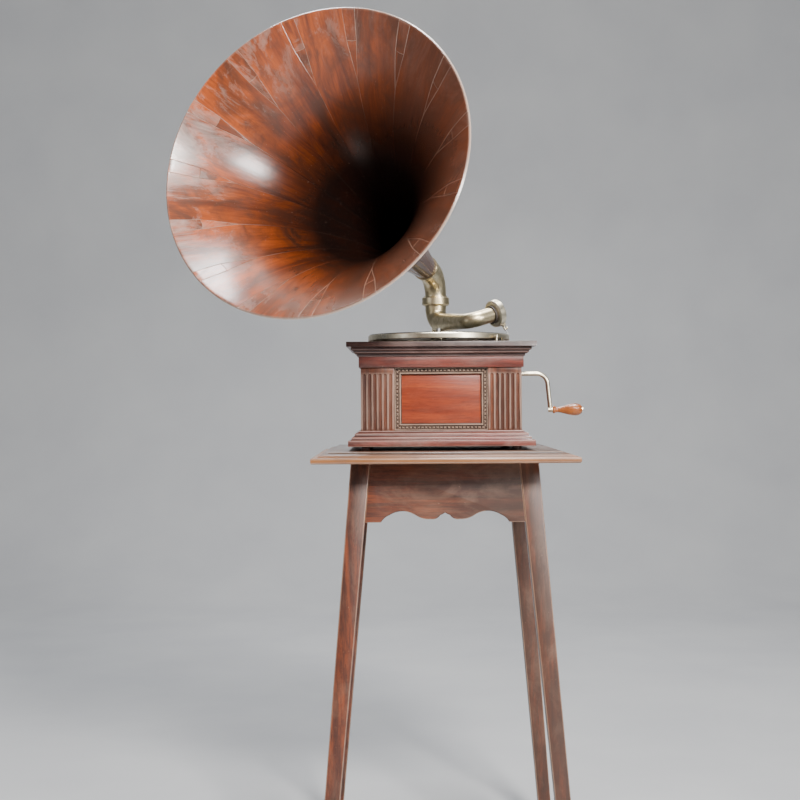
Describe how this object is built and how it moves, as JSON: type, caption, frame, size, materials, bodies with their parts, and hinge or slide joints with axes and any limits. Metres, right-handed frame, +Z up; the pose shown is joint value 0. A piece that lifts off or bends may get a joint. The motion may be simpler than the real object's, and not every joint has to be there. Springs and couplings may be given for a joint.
{
  "type": "wind up phonograph",
  "caption": "Hand-cranked spring-driven table phonograph with a splayed wooden horn on a back-mounted elbow, tone arm, turntable and geared motor, on a splay-legged stand.",
  "frame": {"origin": "the middle of the front left foot's sole, on the floor; the turntable spindle's axis is at X 0.2005, Y 0.205", "axes": "+X towards the crank side, +Y towards the back where the horn bracket stands, +Z up; the front faces -Y"},
  "size_m": [0.7093, 0.6623, 1.4579],
  "materials": {
    "stand_wood": "worn dark stained wood",
    "case_wood": "dark stained wood, rubbed varnish",
    "panel_wood": "red stained wood, satin varnish",
    "horn_wood": "glossy mottled reddish brown wood",
    "aged_nickel": "aged nickel plate, brassy where worn",
    "bright_nickel": "nickel plate, lightly worn",
    "knob_wood": "turned wood, orange varnish",
    "dark_felt": "short felt",
    "rubber_seal": "aged rubber",
    "mica": "mica sheet",
    "steel": "oiled steel",
    "motor_iron": "black japanned casting",
    "gear_brass": "machined brass"
  },
  "bodies": {
    "machine": {"stand_top": "stand_wood", "stand_legs": "stand_wood", "stand_aprons": "stand_wood", "stand_corner_blocks": "stand_wood", "case_feet": "case_wood", "bottom_board": "case_wood", "base_moulding": "case_wood", "corner_posts": "case_wood", "case_panels": "panel_wood", "crank_side_panel": "panel_wood", "panel_frames": "case_wood", "frieze_rails": "case_wood", "cornice_moulding": "case_wood", "top_board": "case_wood", "motor_frame": "motor_iron", "motor_top_plate": "motor_iron", "motor_screws": "steel", "bracket": "aged_nickel", "bracket_screws": "bright_nickel", "crank_bush": "bright_nickel", "brake_pivot": "bright_nickel", "speed_bracket": "steel"},
    "turntable": {"turntable_platter": "bright_nickel", "turntable_felt": "dark_felt", "spindle": "steel", "governor_wheel": "gear_brass"},
    "intermediate": {"intermediate_arbor": "steel", "intermediate_wheel": "gear_brass"},
    "barrel": {"spring_barrel": "motor_iron", "barrel_wheel": "gear_brass", "mainspring": "steel"},
    "winder": {"barrel_arbor": "steel", "winding_wheel": "steel"},
    "crank": {"crank_shaft": "steel", "crank_arm": "bright_nickel"},
    "knob": {"crank_knob": "knob_wood"},
    "governor": {"governor_shaft": "steel", "governor_weights": "gear_brass", "governor_springs": "steel", "governor_disc": "gear_brass"},
    "speed_screw": {"speed_screw": "bright_nickel"},
    "speed_lever": {"speed_lever": "steel"},
    "brake": {"brake_lever": "bright_nickel", "brake_pad": "dark_felt"},
    "horn": {"horn_elbow": "aged_nickel", "horn_ferrule": "aged_nickel", "horn_staves": "horn_wood", "horn_wedges": "horn_wood"},
    "arm": {"tone_arm": "aged_nickel", "tone_arm_nut": "aged_nickel"},
    "sound_box": {"arm_crook": "aged_nickel", "isolator_flange": "rubber_seal", "sound_box_shell": "bright_nickel", "sound_box_gaskets": "rubber_seal", "diaphragm": "mica", "sound_box_ring": "bright_nickel", "stylus_pivots": "bright_nickel"},
    "stylus": {"stylus_bar": "bright_nickel", "needle": "steel"},
    "needle_screw": {"needle_screw": "bright_nickel"}
  },
  "joints": [
    {"name": "turntable_spin", "type": "hinge", "parent": "machine", "child": "turntable", "pos_m": [0.2005, 0.205, 0.94], "axis": [0, 0, 1], "continuous": true},
    {"name": "intermediate_spin", "type": "hinge", "parent": "machine", "child": "intermediate", "pos_m": [0.22267, 0.2237, 0.87], "axis": [0, 0, 1], "continuous": true},
    {"name": "barrel_spin", "type": "hinge", "parent": "machine", "child": "barrel", "pos_m": [0.2605, 0.205, 0.84], "axis": [0, 0, 1], "continuous": true},
    {"name": "governor_spin", "type": "hinge", "parent": "machine", "child": "governor", "pos_m": [0.1715, 0.205, 0.85], "axis": [0, 0, 1], "continuous": true},
    {"name": "crank_turn", "type": "hinge", "parent": "machine", "child": "crank", "pos_m": [0.3395, 0.205, 0.872], "axis": [1, 0, 0], "continuous": true},
    {"name": "winder_spin", "type": "hinge", "parent": "machine", "child": "winder", "pos_m": [0.2605, 0.205, 0.87], "axis": [0, 0, 1], "continuous": true},
    {"name": "crank_knob_spin", "type": "hinge", "parent": "crank", "child": "knob", "pos_m": [0.4125, 0.205, 0.807], "axis": [1, 0, 0], "continuous": true},
    {"name": "speed_screw_turn", "type": "hinge", "parent": "machine", "child": "speed_screw", "pos_m": [0.0865, 0.279, 0.9247], "axis": [0, 0, 1], "range_deg": [0, 270]},
    {"name": "speed_lever_tilt", "type": "hinge", "parent": "machine", "child": "speed_lever", "pos_m": [0.12598, 0.24463, 0.828], "axis": [-0.6566, -0.7542, 0], "range_deg": [0, 1.5]},
    {"name": "brake_swing", "type": "hinge", "parent": "machine", "child": "brake", "pos_m": [0.2985, 0.115, 0.9327], "axis": [0, 0, 1], "range_deg": [-20, 0]},
    {"name": "horn_swing", "type": "hinge", "parent": "machine", "child": "horn", "pos_m": [0.2005, 0.39, 1.02], "axis": [0, 0, 1], "range_deg": [-75, 75]},
    {"name": "tone_arm_swing", "type": "hinge", "parent": "machine", "child": "arm", "pos_m": [0.2005, 0.39, 1], "axis": [0, 0, 1], "range_deg": [-36, 20]},
    {"name": "sound_box_swivel", "type": "hinge", "parent": "arm", "child": "sound_box", "pos_m": [0.24817, 0.27826, 0.97103], "axis": [0.3922, -0.9194, -0.0302], "range_deg": [0, 100]},
    {"name": "stylus_rock", "type": "hinge", "parent": "sound_box", "child": "stylus", "pos_m": [0.32199, 0.28527, 0.96528], "axis": [-0.5346, 0.8451, 0], "range_deg": [-1, 1], "stiffness_Nm_per_rad": 0.02},
    {"name": "needle_screw_turn", "type": "hinge", "parent": "stylus", "child": "needle_screw", "pos_m": [0.32878, 0.284, 0.95824], "axis": [0.8143, 0.5152, 0.2675], "range_deg": [0, 360]}
  ],
  "couplings": [
    {"joint": "intermediate_spin", "follows": "turntable_spin", "ratio": -0.2},
    {"joint": "barrel_spin", "follows": "turntable_spin", "ratio": 0.033333},
    {"joint": "governor_spin", "follows": "turntable_spin", "ratio": -3},
    {"joint": "winder_spin", "follows": "crank_turn", "ratio": 0.5},
    {"joint": "speed_lever_tilt", "follows": "speed_screw_turn", "ratio": 0.0055556}
  ]
}
